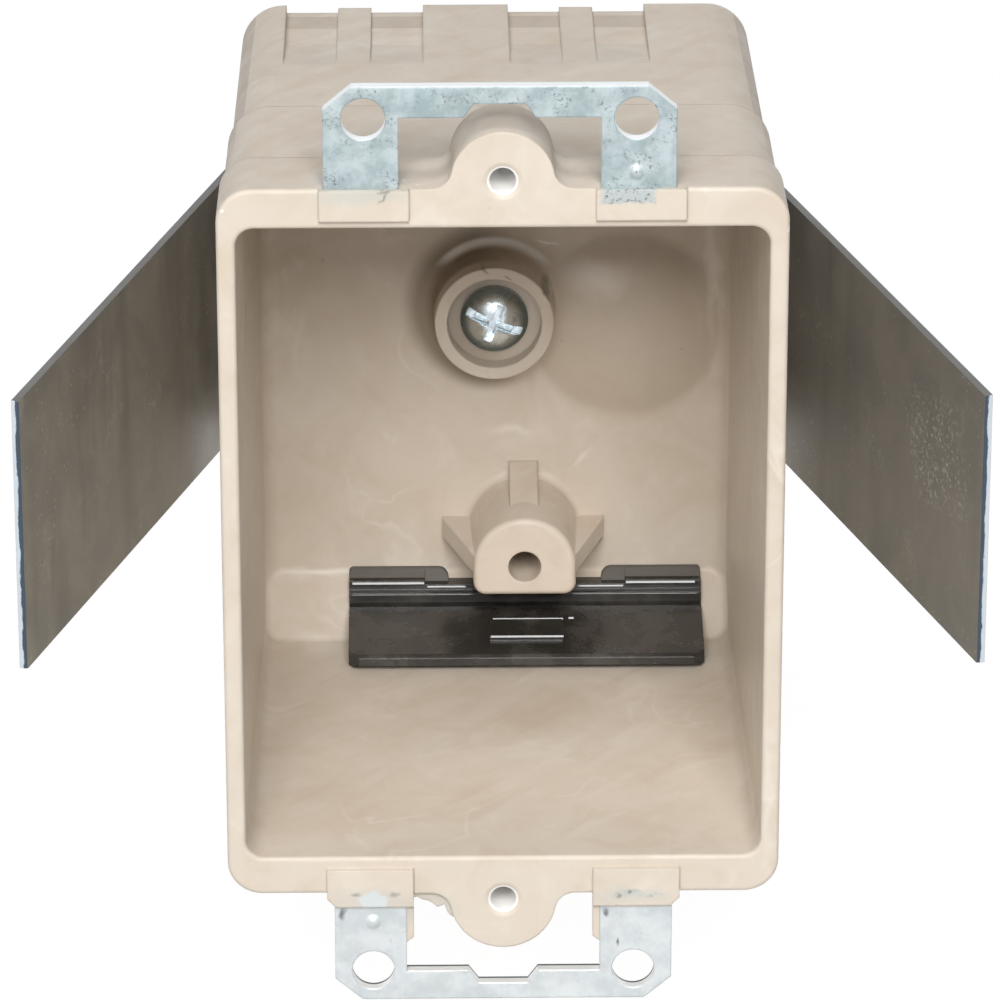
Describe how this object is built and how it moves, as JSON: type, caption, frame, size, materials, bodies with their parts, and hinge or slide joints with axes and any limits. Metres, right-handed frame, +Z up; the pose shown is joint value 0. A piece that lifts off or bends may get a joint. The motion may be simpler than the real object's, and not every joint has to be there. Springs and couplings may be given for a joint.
{
  "type": "single-gang electrical box",
  "caption": "Deep rectangular moulded wall box, open in front, with steel mounting ears, flared spring wings drawn by a long screw, and flap cable clamps inside.",
  "frame": {"origin": "in the plane of the front rim, midway between the device screw holes", "axes": "+X to the right seen from the front, +Y into the box, +Z up"},
  "size_m": [0.1046, 0.0921, 0.1059],
  "materials": {
    "moulded_shell": "satin moulded glass fibre polyester",
    "galvanised_steel": "galvanised sheet with spangle and small dark specks",
    "spring_steel": "dark oiled spring strip, bright sheared edges",
    "zinc_screw": "bright zinc plate",
    "clamp_plastic": "black moulded plastic"
  },
  "bodies": {
    "box": {"box_body": "moulded_shell", "top_ear": "galvanised_steel", "bottom_ear": "galvanised_steel", "upper_clamp": "clamp_plastic", "lower_clamp": "clamp_plastic"},
    "bracket": {"wing_bracket": "spring_steel"},
    "screw": {"bracket_screw": "zinc_screw"},
    "upper_flap": {"upper_clamp_flap": "clamp_plastic"},
    "lower_flap": {"lower_clamp_flap": "clamp_plastic"}
  },
  "joints": [
    {"name": "screw_turn", "type": "hinge", "parent": "box", "child": "screw", "pos_m": [-0.0002, 0.0597, 0.0036], "axis": [0, 1, 0], "range_deg": [-5680, 4000]},
    {"name": "bracket_travel", "type": "slide", "parent": "box", "child": "bracket", "axis": [0, -1, 0], "range_m": [-0.0125, 0.0088]},
    {"name": "lower_flap_lift", "type": "hinge", "parent": "box", "child": "lower_flap", "pos_m": [0.0034, 0.0591, -0.03308], "axis": [-1, 0, 0], "range_deg": [0, 24], "stiffness_Nm_per_rad": 0.02},
    {"name": "upper_flap_lift", "type": "hinge", "parent": "box", "child": "upper_flap", "pos_m": [-0.0034, 0.0591, 0.03308], "axis": [1, 0, 0], "range_deg": [0, 24], "stiffness_Nm_per_rad": 0.02}
  ],
  "couplings": [
    {"joint": "screw_turn", "follows": "bracket_travel", "rad_per_m": 7915.8}
  ]
}
